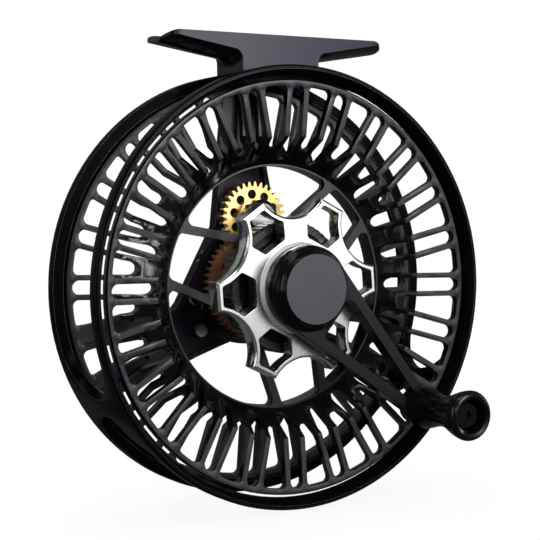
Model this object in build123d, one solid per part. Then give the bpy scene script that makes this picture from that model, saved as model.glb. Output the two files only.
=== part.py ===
from build123d import *
import math
import os

# Geared fly reel. The origin is on the reel's axis, at the centre of the frame's back face.
# -Y is the handle side, +Z points to the rod foot. All lengths are in millimetres.
# A "depth" is the distance behind the frame's front edge, so a negative depth stands in front of it.

# ---- fits ----
SEAT = 0.01             # radial gap left in a fixed seat
RUNNING = 0.05          # radial gap of a shaft that turns in its bore
CLEAR = 5.0             # how far a cutter runs past what it cuts
TOUCH = 0.001           # distance below which two places count as one
SHORT_EDGE = 2.2        # shortest edge that can be rounded at both ends, in corner radii

# ---- frame cage ----
FRAME_RADIUS = 50.0
FRAME_WIDTH = 28.0
RING_DEPTH = 3.5        # axial length of the front and rear rings
FRONT_LIP_RADIUS = 49.0
RING_BORE = 47.5
PILLAR_ANGLES = (90.0, 210.0, 330.0)
PILLAR_WIDTHS = (20.0, 4.8, 4.8)
WINDOW_RADIUS = (FRAME_WIDTH - 2 * RING_DEPTH) / 2
FRONT_EDGE, REAR_EDGE = 0.5, 0.6    # broken corners of the rings
FAN_STEP = 60.0         # widest angle between two corners of a window's fan-shaped cutter
PLATE_FRONT = 26.3
REAR_LIP = 46.2         # bore of the lip that the back plate leaves inside the rear ring
PLATE_RIM = RING_BORE + 2.0         # radius inside the rear ring where the arms end
HUB_DISC_RADIUS = 14.5
GEAR_ARM_CORNERS = ((-4.6, PLATE_RIM), (-8.8, 14.0), (-18.6, -3.7), (-22.5, -8.3), (-22.5, -19.5),
                    (-7.7, -14.4), (0, -12.0), (9.0, 10.0), (5.6, 28.0), (5.2, PLATE_RIM))
THIN_ARMS = (((-19.0, -8.0), 193.0), ((-16.0, -14.35), 209.8), ((8.0, -4.0), -13.0), ((6.0, -9.0), -29.8))
ARM_WIDTH = 5.6
PLATE_FILLET = 1.5
POCKET_RIM = 1.1        # width of the raised edge round the gear arm
POCKET_FRONT = 25.0
POCKET_REACH = 31.0     # radius where the raised edge ends

# ---- rod foot ----
FOOT_LENGTH = 58.0
FOOT_CORNER = 3.6
FOOT_FRONT, FOOT_BACK = 8.0, 20.5
FOOT_TOP = 57.4
FOOT_SAG = 2.0          # how far the saddle's middle lies below its edges
FOOT_PEDESTAL = 20.0
TONGUE_ROOT = (53.4, 51.6)          # heights of the underside's edge and middle beside the pedestal
TONGUE_TIP = (56.8, 54.8)           # the same at the tongue's tip
FOOT_HOLE_PLACE, FOOT_HOLE_RADIUS = 25.0, 0.9
FOOT_FILLET = 2.0
FOOT_EDGE_REACH = 0.05  # how far an edge's middle may lie from the pedestal's side and still be its corner
FOOT_SCREW_SPACING = 11.0
FOOT_SCREW_FACE, FOOT_SCREW_END = 47.15, 54.9
FOOT_SCREW_HEAD, FOOT_SCREW_SHANK = 2.9, 1.5
FOOT_SCREW_SOCKET, FOOT_SCREW_SOCKET_DEPTH = 1.0, 1.2

# ---- spool ----
SPOOL_RADIUS = 46.9
SPOOL_FRONT = 2.1
FLANGE_EDGE = 0.3
BEND_RADIUS, BEND_DEPTH = 34.3, 3.5
BEND_INSIDE_RADIUS, BEND_INSIDE_DEPTH = 35.4, 5.2
THROAT_RADIUS, THROAT_DEPTH = 28.6, 11.2
THROAT_BORE, THROAT_LEDGE = 27.9, 11.9
FLANGE_THICKNESS = 1.8
CHANNEL_RADIUS, CHANNEL_DEPTH = 29.3, 12.9
SLOT_COUNT = 24
SLOT_PHASE = -1.3
SLOT_OUTER = 45.6
NARROW_SLOT_WIDTH, NARROW_SLOT_INNER = 3.2, 29.3
WIDE_SLOT_INNER, WIDE_SLOT_ROUND = 32.0, 1.3
SPOKE_WIDTH = 1.2
WEB_FRONT, WEB_BACK = 11.5, 14.0
WEB_PAIR_ANGLE = 43.1
WEB_SPREAD = 12.5       # half the angle between a pair of bars where they meet the throat
WEB_OFFSET = 8.8        # how far a bar's line passes from the reel's axis
WEB_BAR_WIDTH = 1.9
WEB_FILLET = 1.5
WEB_HUB_RADIUS = 11.0
BARREL_RADIUS, BARREL_BACK = 9.5, 20.0
GRUB_RADIUS, GRUB_HOLE_RADIUS, GRUB_DEPTH = 0.8, 1.02, 19.1
GRUB_ANGLES = (30, 150, 270)

# ---- bearings on the drive sleeve ----
SLEEVE_RADIUS = 5.0
BEARING_RADIUS = 7.5
BEARING_WIDTH = 3.0
BEARING_DEPTHS = (11.8, 15.0)
BALL_RADIUS, BALL_COUNT = 0.75, 11
BALL_PLAY = 0.03
RACE_GAP = 0.45         # from the balls' circle to each ring's wall
BEARING_LIP = 0.5       # height of the shoulder in front of the bearings

# ---- gears ----
MODULE = 0.5
PRESSURE_ANGLE = 20.0
DEDENDUM = 1.25         # depth of a tooth below the pitch circle, in modules
FLANK_STEPS = 4
TOOTH_THINNING = 0.08   # taken off each tooth's thickness, for backlash
DRIVE_TEETH, LAY_PINION_TEETH = 48, 16
SPOOL_PINION_TEETH, LAY_GEAR_TEETH = 32, 32
LAY_REACH = MODULE * (DRIVE_TEETH + LAY_PINION_TEETH) / 2
TRAIN_ANGLE = 92.7      # direction of the lay gears from the reel's axis
UPPER_GEARS = (20.3, 22.1)
DRIVE_GEARS = (22.5, 24.4)
LAY_HOLE_COUNT, LAY_HOLE_RADIUS, LAY_HOLE_RING, LAY_HOLE_PHASE = 10, 1.1, 5.5, 59.7
LAY_BUSH_RADIUS, LAY_SHAFT_RADIUS = 2.4, 1.5
LAY_HEAD_RADIUS, LAY_HEAD_FACE, LAY_HEAD_EDGE = 4.2, 3.2, 0.8
LAY_HEAD_FRONT, LAY_HEAD_BACK = 16.0, 20.2
LAY_SLOT_WIDTH, LAY_SLOT_FLOOR = 0.5, 16.7
LAY_COLLAR_RADIUS, LAY_COLLAR_FRONT = 2.9, 24.55
PINION_BORE = 6.1
DRIVE_HOLE_COUNT, DRIVE_HOLE_RADIUS, DRIVE_HOLE_RING = 6, 1.4, 8.2

# ---- spindle and drive sleeve ----
SPINDLE_RADIUS = 3.0
SPINDLE_FRONT = -2.45
SPINDLE_FLANGE_RADIUS, SPINDLE_FLANGE_FRONT = 8.0, 24.8
SPIGOT_RADIUS = 4.0
FLANGE_SCREW_RING, FLANGE_SCREW_ANGLES = 5.6, (90, 210, 330)
FLANGE_SCREW_HEAD, FLANGE_SCREW_SHANK, FLANGE_SCREW_TIP = 2.3, 1.25, 25.2
FLANGE_SCREW_SOCKET, FLANGE_SCREW_FLOOR = 0.9, 26.9
END_SCREW_HEAD, END_SCREW_SHANK, END_SCREW_SOCKET = 2.8, 1.5, 1.4
END_SCREW_FRONT, END_SCREW_FLOOR, END_SCREW_SEAT, END_SCREW_TIP = -4.2, -3.4, -2.9, 4.55
TAPPED_END = 5.55
END_WASHER_RADIUS = 3.9
THRUST_WASHER_RADIUS, THRUST_WASHER_FRONT = 7.0, 24.44
BUSH_LENGTH = 4.0
SLEEVE_BORE = 3.8
SLEEVE_FLAT = 4.4       # distance from the axis to each driving flat
SLEEVE_FRONT = 9.9
FRONT_SPACER_RADIUS, REAR_SPACER_RADIUS, SPACER_PLAY = 6.2, 5.9, 0.02

# ---- drag ----
HOUSING_RADIUS, HOUSING_BORE = 15.2, 13.2
HOUSING_FRONT, HOUSING_FLOOR, HOUSING_BACK = 6.0, 9.9, 11.2
HOUSING_EDGE = 0.4
KNURL_COUNT, KNURL_RADIUS, KNURL_RISE = 60, 0.32, 0.05
CARBON_THICKNESS, STEEL_THICKNESS = 0.38, 0.40
DISC_RADIUS, DISC_BORE = 12.6, 5.7
CARBON_DEPTHS = (7.82, 8.66, 9.50)
EARED_DISC_DEPTH, KEYED_DISC_DEPTH = 8.23, 9.07
EAR_WIDTH, EAR_REACH, EAR_COUNT = 3.0, 13.8, 3
EAR_PLAY = 0.1
PRESSURE_FRONT, PRESSURE_BACK = 6.42, 7.40
PRESSURE_RADIUS = 13.0
WASHER_BORE, WASHER_RADIUS, WASHER_RISE, WASHER_THICKNESS = 5.3, 8.8, 0.3, 0.18
WASHER_DEPTHS = (5.44, 5.70)

# ---- crank ----
SHAFT_RADIUS, SHAFT_BORE = 5.0, 4.0
SHAFT_FRONT, SHAFT_BACK = -4.5, 9.6
SHAFT_FLAT = 4.5
STAR_THREAD_END = 6.12
CRANK_FRONT, CRANK_BACK = -3.1, 0.6
CRANK_HUB_RADIUS = 9.7
CRANK_ANGLE = -43.6
CRANK_LENGTH = 42.1
CRANK_ARM_WIDTH = 2.5
CRANK_TAPER = 9.3       # angle between each arm and the crank's centre line
CRANK_TOE = 1.0         # how far short of the handle's axis the arms end
CRANK_BOSS_RADIUS = 4.1
CRANK_FILLET = 2.0
CRANK_CORNERS = (6.0, 20.0)         # how far along the crank the arms' inner corners at the hub lie
CRANK_CORNER_INSET = 0.8
NUT_HEX_ACROSS, NUT_FRONT = 12.4, -4.6
CAP_SIDE = ((0, -5.8), (7.8, -5.8), (8.1, -5.55), (8.6, -4.6), (9.6, -3.5))
CAP_CAVITY = ((7.8, -3.11), (7.3, -4.9), (0, -4.9))

# ---- star wheel ----
STAR_FRONT, STAR_BACK = 1.46, 5.4
STAR_LOBES, STAR_PHASE = 6, 3.4
STAR_CORNER_RADIUS, STAR_CORNER_ANGLE = 21.1, 8.9
STAR_WAIST_RADIUS = 15.9
SCALLOP_RADIUS, SCALLOP_CENTRE = 9.5, 25.4
STAR_CHAMFER = 0.5
STAR_RIM = 1.15         # metal left between a window and the outline
WINDOW_INNER, WINDOW_OUTER = 11.2, 19.7
WINDOW_INNER_HALF, WINDOW_OUTER_HALF = 3.0, 7.6
STAR_WINDOW_ROUND = 0.8
COLLAR_BASE_RADIUS, COLLAR_TOP_RADIUS, COLLAR_FRONT = 10.4, 9.6, 0.66
COLLAR_ROOT = 4.4       # depth inside the star where the collar's solid starts

# ---- handle ----
POST_RADIUS, POST_FRONT = 2.0, -18.5
POST_BORE_END, RIVET_RADIUS = -12.5, 1.5
HANDLE_SCREW_HEAD, HANDLE_SCREW_SHANK, HANDLE_SCREW_SOCKET = 2.7, 1.0, 1.2
HANDLE_SCREW_FRONT, HANDLE_SCREW_FLOOR, HANDLE_SCREW_TIP = -19.8, -19.1, -13.0
HANDLE_BUSH_RADIUS = 2.55
KNOB_BACK, KNOB_FRONT = -3.35, -21.8
KNOB_BASE = (5.0, -4.55)            # radius and depth where the waist starts
KNOB_WAIST = ((3.8, -10.0), (3.7, -13.0))
KNOB_FLARE = (5.65, -20.1)          # widest place
KNOB_LIP = ((5.3, -21.4), (4.65, -21.8))
KNOB_EDGE = 0.5
KNOB_MOUTH = (4.0, -21.5)
RECESS_RADIUS, RECESS_FLOOR = 3.0, -18.3

# ---- click ----
PAWL_ANGLE = 215.0
PAWL_PIVOT_RADIUS = 17.6
PAWL_TIP_GAP = 0.15
PAWL_HEAD_RADIUS, PAWL_HEAD_HALF, PAWL_TIP_HALF = 2.0, 1.9, 0.2
SPRING_ANCHOR_RADIUS, SPRING_ANCHOR_ANGLE = 14.4, 191.0
PAWL_FRONT, PAWL_BACK = 22.7, 24.3
PIN_RADIUS, PIN_HEAD_RADIUS, PIN_HEAD = 1.0, 1.6, 0.7
PIN_END, PIN_HOLE_END = 27.4, 27.5
PIVOT_SHOULDER, ANCHOR_SHOULDER = 22.6, 25.1
WIRE_RADIUS, SPRING_TURN_RADIUS, SPRING_FRONT = 0.3, 1.3, 25.2
SPRING_LEAN, SPRING_OVERRUN = 0.9, 0.5

parts = {}


def y_at(depth):
    """Y of a depth."""
    return depth - FRAME_WIDTH


def at_depth(depth):
    """Drawing plane at a depth, seen from the handle side: local x is X and local y is Z."""
    return Plane.XZ.offset(-y_at(depth))


def slab(sketch, near, far):
    """A flat outline made solid between two depths."""
    return extrude(at_depth(far) * sketch, amount=far - near)


def ring(outer, inner, near, far, centre=(0, 0)):
    """A round bar along Y, or a tube if inner isn't zero."""
    outline = Circle(outer) - Circle(inner) if inner else Circle(outer)
    return slab(Pos(*centre) * outline, near, far)


def turned(points):
    """A solid of revolution about the reel's axis from (radius, depth) corners."""
    corners = [(radius, y_at(depth)) for radius, depth in points]
    return revolve(make_face(Polyline(*corners, close=True)), Axis.Y)


def polar(radius, angle):
    """Flat (x, z) point at a radius and an angle in degrees, measured from +X towards +Z."""
    return radius * math.cos(math.radians(angle)), radius * math.sin(math.radians(angle))


def spin(shape, angle):
    """A solid turned about the reel's axis, in the same sense as polar."""
    return Rot(0, -angle, 0) * shape


def strut(start, end, width):
    """Round-ended bar outline between two flat points."""
    dx, dz = end[0] - start[0], end[1] - start[1]
    middle = ((start[0] + end[0]) / 2, (start[1] + end[1]) / 2)
    tilt = math.degrees(math.atan2(dz, dx))
    return Pos(*middle) * Rot(0, 0, tilt) * SlotCenterToCenter(math.hypot(dx, dz), width)


def flatted(radius, flat):
    """A round outline with two flats, for a part driven by a shaft."""
    return Circle(radius) & Rectangle(4 * radius, 2 * flat)


def rounded(face, radius):
    """A flat face with its corners rounded, apart from corners at an edge too short for the radius."""
    needed = SHORT_EDGE * radius
    short = [e for e in face.edges() if e.length < needed]
    corners = [v for v in face.vertices() if all(e.distance_to(v) > TOUCH for e in short)]
    return face.fillet_2d(radius, corners)


def save(name, solids):
    """Keeps a node, whose solids are all one physical piece or identical pieces."""
    parts[name] = Compound(label=name, children=list(solids))


# ------------------------------------------------------------------ frame

def window_cutter(start, end):
    """Window between two pillars: full-round ends, cut straight towards the axis."""
    end_angle = math.degrees(WINDOW_RADIUS / FRAME_RADIUS)
    first, last = start + end_angle, end - end_angle
    inside, outside = RING_BORE - CLEAR, FRAME_RADIUS + CLEAR
    near, far = RING_DEPTH, FRAME_WIDTH - RING_DEPTH
    band = turned([(inside, near), (outside, near), (outside, far), (inside, far)])
    reach = 2 * FRAME_RADIUS
    steps = 1 + math.ceil((last - first) / FAN_STEP)
    fan = [(0, 0)] + [polar(reach, first + (last - first) * i / steps) for i in range(steps + 1)]
    cutter = band & slab(make_face(Polyline(*fan, close=True)), 0, FRAME_WIDTH)
    drill = Pos(0, y_at(FRAME_WIDTH / 2), FRAME_RADIUS) * Cylinder(WINDOW_RADIUS, 4 * CLEAR)
    for angle in (first, last):
        cutter += spin(drill, angle - 90)
    return cutter


def arm(start, end, width):
    """Square-ended bar outline between two flat points."""
    dx, dz = end[0] - start[0], end[1] - start[1]
    middle = ((start[0] + end[0]) / 2, (start[1] + end[1]) / 2)
    return Pos(*middle) * Rot(0, 0, math.degrees(math.atan2(dz, dx))) * Rectangle(math.hypot(dx, dz), width)


def back_plate_outline():
    """Hub disc, gear arm with its left lobe, and four thin arms out to the rear ring."""
    outline = Circle(HUB_DISC_RADIUS) + Polygon(*GEAR_ARM_CORNERS, align=None)
    for start, angle in THIN_ARMS:
        outline += arm(start, polar(PLATE_RIM, angle), ARM_WIDTH)
    return outline


def frame_cage():
    """Front ring, rear ring, three pillars and the back plate, cut from one bar."""
    tube = turned([
        (FRAME_RADIUS - FRONT_EDGE, 0), (FRAME_RADIUS, FRONT_EDGE), (FRAME_RADIUS, FRAME_WIDTH - REAR_EDGE),
        (FRAME_RADIUS - REAR_EDGE, FRAME_WIDTH), (RING_BORE, FRAME_WIDTH), (RING_BORE, RING_DEPTH),
        (FRONT_LIP_RADIUS, 0)])
    for i, angle in enumerate(PILLAR_ANGLES):
        following = (i + 1) % len(PILLAR_ANGLES)
        start = angle + math.degrees(PILLAR_WIDTHS[i] / 2 / FRAME_RADIUS)
        end = PILLAR_ANGLES[following] - math.degrees(PILLAR_WIDTHS[following] / 2 / FRAME_RADIUS)
        tube -= window_cutter(start, end if end > start else end + 360)
    outline = back_plate_outline()
    plate = Circle((RING_BORE + PLATE_RIM) / 2)
    raised = (outline - offset(outline, -POCKET_RIM)) & Circle(POCKET_REACH)
    raised -= Circle(HUB_DISC_RADIUS)
    for opening in (Circle(REAR_LIP) - outline).faces():
        window = rounded(opening, PLATE_FILLET)
        plate -= window
        raised -= window
    cage = tube + slab(plate, PLATE_FRONT, FRAME_WIDTH)
    cage += slab(raised, POCKET_FRONT, PLATE_FRONT)
    for screw in foot_screw_places(foot_screw(2 * SEAT, CLEAR)):
        cage -= screw
    cage -= ring(SPIGOT_RADIUS - SEAT, 0, PLATE_FRONT - 1, FRAME_WIDTH + 1)
    for angle in FLANGE_SCREW_ANGLES:
        cage -= flange_screw(angle, 3 * SEAT)
    cage -= ring(LAY_SHAFT_RADIUS + SEAT, 0, PLATE_FRONT - 1, FRAME_WIDTH + 1, lay_axis())
    for point in (pawl_pivot(), spring_anchor()):
        cage -= ring(PIN_RADIUS + SEAT, 0, PLATE_FRONT - 1, PIN_HOLE_END, point)
    return cage


def foot_middle():
    """Y of the foot's centre line."""
    return y_at((FOOT_FRONT + FOOT_BACK) / 2)


def tongue_section(x, edge, middle):
    """Lens-like cross-section of a foot tongue, from the flat top down to a bowed underside."""
    half = (FOOT_BACK - FOOT_FRONT) / 2
    y = foot_middle()
    left, right = (x, y - half, edge), (x, y + half, edge)
    top_left, top_right = (x, y - half, FOOT_TOP), (x, y + half, FOOT_TOP)
    edges = [Line(top_left, left), ThreePointArc(left, (x, y, middle), right), Line(right, top_right),
             Line(top_right, top_left)]
    return make_face(Wire(edges))


def reel_foot():
    """Rod foot: pedestal and two tongues with a saddle top and rounded corners."""
    width = FOOT_BACK - FOOT_FRONT
    y = foot_middle()
    block = Box(FOOT_PEDESTAL, width, FOOT_TOP, align=(Align.CENTER, Align.CENTER, Align.MAX))
    foot = Pos(0, y, FOOT_TOP) * block
    root, tip = FOOT_PEDESTAL / 2 - 1, FOOT_LENGTH / 2
    for side in (-1, 1):
        sections = [tongue_section(side * root, *TONGUE_ROOT), tongue_section(side * tip, *TONGUE_TIP)]
        foot += loft(sections, ruled=True)
    edge, middle = TONGUE_ROOT
    side = FOOT_PEDESTAL / 2
    across = [e for e in foot.edges() if e.bounding_box().size.Y > width / 2]
    hollow = [e for e in across if abs(abs(e.center().X) - side) < FOOT_EDGE_REACH
              and middle - 1 < e.center().Z < edge + 1]
    foot = fillet(hollow, FOOT_FILLET)
    plan = Pos(0, y, FRAME_RADIUS - CLEAR) * RectangleRounded(FOOT_LENGTH, width, FOOT_CORNER)
    foot &= extrude(plan, amount=4 * CLEAR)
    saddle_radius = (width ** 2 / 4 + FOOT_SAG ** 2) / (2 * FOOT_SAG)
    saddle = Pos(0, y, FOOT_TOP - FOOT_SAG + saddle_radius) * Rot(0, 90, 0)
    foot -= saddle * Cylinder(saddle_radius, 2 * FOOT_LENGTH)
    foot -= ring(FRAME_RADIUS + SEAT, 0, 0, FRAME_WIDTH)
    for screw in foot_screw_places(foot_screw(SEAT)):
        foot -= screw
    return foot - Pos(FOOT_HOLE_PLACE, y, FOOT_TOP) * Cylinder(FOOT_HOLE_RADIUS, 2 * CLEAR)


def foot_screw(gap=0.0, open_below=0.0):
    """Countersunk screw along +Z. A gap and an opening below its head make it the cutter for its hole."""
    head, shank = FOOT_SCREW_HEAD + gap, FOOT_SCREW_SHANK + gap
    end = FOOT_SCREW_END + gap
    neck = FOOT_SCREW_FACE + head - shank
    profile = [(0, 0, FOOT_SCREW_FACE), (head, 0, FOOT_SCREW_FACE), (shank, 0, neck),
               (shank, 0, end), (0, 0, end)]
    screw = revolve(make_face(Polyline(*profile, close=True)), Axis.Z)
    if open_below:
        below = Cylinder(head, open_below, align=(Align.CENTER, Align.CENTER, Align.MAX))
        screw += Pos(0, 0, FOOT_SCREW_FACE) * below
    return screw


def foot_screw_places(screw):
    """The screw at each of its two places under the foot."""
    return [Pos(x, foot_middle(), 0) * screw for x in (-FOOT_SCREW_SPACING / 2, FOOT_SCREW_SPACING / 2)]


def foot_screws():
    """Two countersunk socket screws that hold the foot from inside the cage."""
    socket = extrude(RegularPolygon(FOOT_SCREW_SOCKET, 6), amount=FOOT_SCREW_SOCKET_DEPTH)
    return foot_screw_places(foot_screw() - Pos(0, 0, FOOT_SCREW_FACE) * socket)


def flange_screw(angle, gap=0.0):
    """Countersunk screw from behind the back plate into the spindle's flange."""
    head, shank, tip = FLANGE_SCREW_HEAD + gap, FLANGE_SCREW_SHANK + gap, FLANGE_SCREW_TIP - gap
    seat = FRAME_WIDTH - head + shank
    profile = [(0, FRAME_WIDTH), (head, FRAME_WIDTH), (shank, seat), (shank, tip), (0, tip)]
    x, z = polar(FLANGE_SCREW_RING, angle)
    return Pos(x, 0, z) * turned(profile)


def main_spindle():
    """Fixed steel spindle with a screwed flange and a blind tapped front end."""
    spindle = ring(SPINDLE_RADIUS, 0, SPINDLE_FRONT, SPINDLE_FLANGE_FRONT + 1)
    spindle += ring(SPINDLE_FLANGE_RADIUS, 0, SPINDLE_FLANGE_FRONT, PLATE_FRONT - SEAT)
    spindle += ring(SPIGOT_RADIUS - 2 * SEAT, 0, PLATE_FRONT - 1, FRAME_WIDTH)
    spindle -= ring(END_SCREW_SHANK + SEAT, 0, SPINDLE_FRONT - 1, TAPPED_END)
    for angle in FLANGE_SCREW_ANGLES:
        spindle -= flange_screw(angle, SEAT)
    return spindle


def spindle_screws():
    """Three flange screws, each with a hexagon socket."""
    screws = []
    for angle in FLANGE_SCREW_ANGLES:
        socket = Pos(*polar(FLANGE_SCREW_RING, angle)) * RegularPolygon(FLANGE_SCREW_SOCKET, 6)
        screws.append(flange_screw(angle) - slab(socket, FLANGE_SCREW_FLOOR, FRAME_WIDTH + 1))
    return screws


def end_screw():
    """Screw and head that hold the stack on the spindle's front end."""
    screw = ring(END_SCREW_HEAD, 0, END_SCREW_FRONT, END_SCREW_SEAT)
    screw += ring(END_SCREW_SHANK, 0, END_SCREW_SEAT - SEAT, END_SCREW_TIP)
    return screw - slab(RegularPolygon(END_SCREW_SOCKET, 6), END_SCREW_FRONT - 1, END_SCREW_FLOOR)


def end_washer():
    return ring(END_WASHER_RADIUS, END_SCREW_SHANK + 2 * SEAT, END_SCREW_SEAT + SEAT, SPINDLE_FRONT - SEAT)


def thrust_washer():
    front, back = THRUST_WASHER_FRONT, SPINDLE_FLANGE_FRONT - SEAT
    return ring(THRUST_WASHER_RADIUS, SPINDLE_RADIUS + 2 * SEAT, front, back)


# ------------------------------------------------------------------ gears

def involute(angle):
    return math.tan(angle) - angle


def gear_outline(teeth, tooth_angle):
    """Spur gear outline with one tooth centred on tooth_angle. The flanks are involutes."""
    pitch = MODULE * teeth / 2
    base = pitch * math.cos(math.radians(PRESSURE_ANGLE))
    root, tip = pitch - DEDENDUM * MODULE, pitch + MODULE
    half_tooth = math.pi / (2 * teeth) - TOOTH_THINNING / (2 * pitch)
    start = max(root, base)
    radii = [start + (tip - start) * i / FLANK_STEPS for i in range(FLANK_STEPS + 1)]
    if root < start - TOUCH:
        radii.insert(0, root)
    points = []
    for tooth in range(teeth):
        middle = math.radians(tooth_angle) + 2 * math.pi * tooth / teeth
        flank = []
        for radius in radii:
            pressure = math.acos(min(1.0, base / max(radius, base)))
            half = half_tooth + involute(math.radians(PRESSURE_ANGLE)) - involute(pressure)
            flank.append((radius, half))
        points += [polar(radius, math.degrees(middle - half)) for radius, half in flank]
        points += [polar(radius, math.degrees(middle + half)) for radius, half in reversed(flank)]
    return make_face(Polyline(*points, close=True))


def gear(teeth, tooth_angle, near, far, centre=(0, 0)):
    return slab(Pos(*centre) * gear_outline(teeth, tooth_angle), near, far)


def drive_gear():
    body = gear(DRIVE_TEETH, TRAIN_ANGLE, *DRIVE_GEARS)
    body -= slab(flatted(SLEEVE_RADIUS + SEAT, SLEEVE_FLAT + SEAT), 0, FRAME_WIDTH)
    for i in range(DRIVE_HOLE_COUNT):
        place = polar(DRIVE_HOLE_RING, 360 * (i + 0.5) / DRIVE_HOLE_COUNT)
        body -= ring(DRIVE_HOLE_RADIUS, 0, 0, FRAME_WIDTH, place)
    return body


def lay_axis():
    return polar(LAY_REACH, TRAIN_ANGLE)


def gap_angle(teeth):
    """Tooth angle of a lay gear that turns a gap towards the reel's axis."""
    return TRAIN_ANGLE + 180 + 180 / teeth


def lay_gear():
    """Bright idler gear with a ring of lightening holes."""
    x, z = lay_axis()
    body = gear(LAY_GEAR_TEETH, gap_angle(LAY_GEAR_TEETH), *UPPER_GEARS, (x, z))
    body -= ring(LAY_BUSH_RADIUS + SEAT, 0, 0, FRAME_WIDTH, (x, z))
    for i in range(LAY_HOLE_COUNT):
        dx, dz = polar(LAY_HOLE_RING, LAY_HOLE_PHASE + 360 * i / LAY_HOLE_COUNT)
        body -= ring(LAY_HOLE_RADIUS, 0, 0, FRAME_WIDTH, (x + dx, z + dz))
    return body


def lay_pinion():
    front = UPPER_GEARS[1] + SEAT
    body = gear(LAY_PINION_TEETH, gap_angle(LAY_PINION_TEETH), front, DRIVE_GEARS[1], lay_axis())
    return body - ring(LAY_BUSH_RADIUS + SEAT, 0, 0, FRAME_WIDTH, lay_axis())


def lay_shaft():
    """Shoulder screw: tall slotted head, shank through the lay gears into the back plate."""
    axis = lay_axis()
    head_side = LAY_HEAD_FRONT + LAY_HEAD_EDGE
    head = turned([(0, LAY_HEAD_FRONT), (LAY_HEAD_FACE, LAY_HEAD_FRONT), (LAY_HEAD_RADIUS, head_side),
                   (LAY_HEAD_RADIUS, LAY_HEAD_BACK), (0, LAY_HEAD_BACK)])
    screw = Pos(axis[0], 0, axis[1]) * head
    screw += ring(LAY_SHAFT_RADIUS, 0, LAY_HEAD_FRONT + 1, FRAME_WIDTH - 10 * SEAT, axis)
    screw += ring(LAY_COLLAR_RADIUS, 0, LAY_COLLAR_FRONT, PLATE_FRONT - SEAT, axis)
    slot = Pos(*axis) * Rectangle(3 * LAY_HEAD_RADIUS, LAY_SLOT_WIDTH)
    return screw - slab(slot, LAY_HEAD_FRONT - 1, LAY_SLOT_FLOOR)


def lay_bush():
    return ring(LAY_BUSH_RADIUS, LAY_SHAFT_RADIUS + RUNNING, UPPER_GEARS[0], DRIVE_GEARS[1], lay_axis())


def spool_pinion():
    body = gear(SPOOL_PINION_TEETH, TRAIN_ANGLE, *UPPER_GEARS)
    body += ring(BEARING_RADIUS - SEAT, 0, BEARING_DEPTHS[1] + BEARING_WIDTH + SEAT, UPPER_GEARS[0] + 0.1)
    return body - ring(PINION_BORE, 0, 0, FRAME_WIDTH)


# ------------------------------------------------------------------ spool

def narrow_slot():
    """Parallel-sided slot with round ends, along +X."""
    radius = NARROW_SLOT_WIDTH / 2
    return strut((NARROW_SLOT_INNER + radius, 0), (SLOT_OUTER - radius, 0), NARROW_SLOT_WIDTH)


def wide_slot():
    """Tapered slot between two narrow ones, along +X. Its sides run parallel to its neighbours."""
    half_step = 180 / SLOT_COUNT
    clear = NARROW_SLOT_WIDTH / 2 + SPOKE_WIDTH
    slope = math.tan(math.radians(half_step))
    lift = clear / math.cos(math.radians(half_step))

    def half_width(x):
        return x * slope - lift

    outer_x = math.sqrt(SLOT_OUTER ** 2 - half_width(SLOT_OUTER) ** 2)
    top = (outer_x, half_width(outer_x))
    inner = (WIDE_SLOT_INNER, half_width(WIDE_SLOT_INNER))
    edges = [Line((inner[0], -inner[1]), (top[0], -top[1])),
             ThreePointArc((top[0], -top[1]), (SLOT_OUTER, 0), top),
             Line(top, inner), Line(inner, (inner[0], -inner[1]))]
    face = make_face(Wire(edges))
    outer_corners = [v for v in face.vertices() if v.X > BEND_RADIUS]
    face = fillet(outer_corners, WIDE_SLOT_ROUND)
    inner_corners = [v for v in face.vertices() if v.X < WIDE_SLOT_INNER + TOUCH]
    return fillet(inner_corners, 0.9 * inner[1])


def web_outline():
    """Three pairs of bars between the hub and the throat, with rounded corners."""
    openings = Circle(THROAT_BORE) - Circle(WEB_HUB_RADIUS)
    hub_x = math.sqrt(WEB_HUB_RADIUS ** 2 - WEB_OFFSET ** 2) - WEB_BAR_WIDTH
    throat = polar(THROAT_RADIUS, WEB_SPREAD)
    for i in range(3):
        for side in (-1, 1):
            bar = strut((hub_x, side * WEB_OFFSET), (throat[0], side * throat[1]), WEB_BAR_WIDTH)
            openings -= Rot(0, 0, WEB_PAIR_ANGLE + 120 * i) * bar
    web = Circle((THROAT_BORE + THROAT_RADIUS) / 2)
    for opening in openings.faces():
        web -= rounded(opening, WEB_FILLET)
    return web


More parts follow.
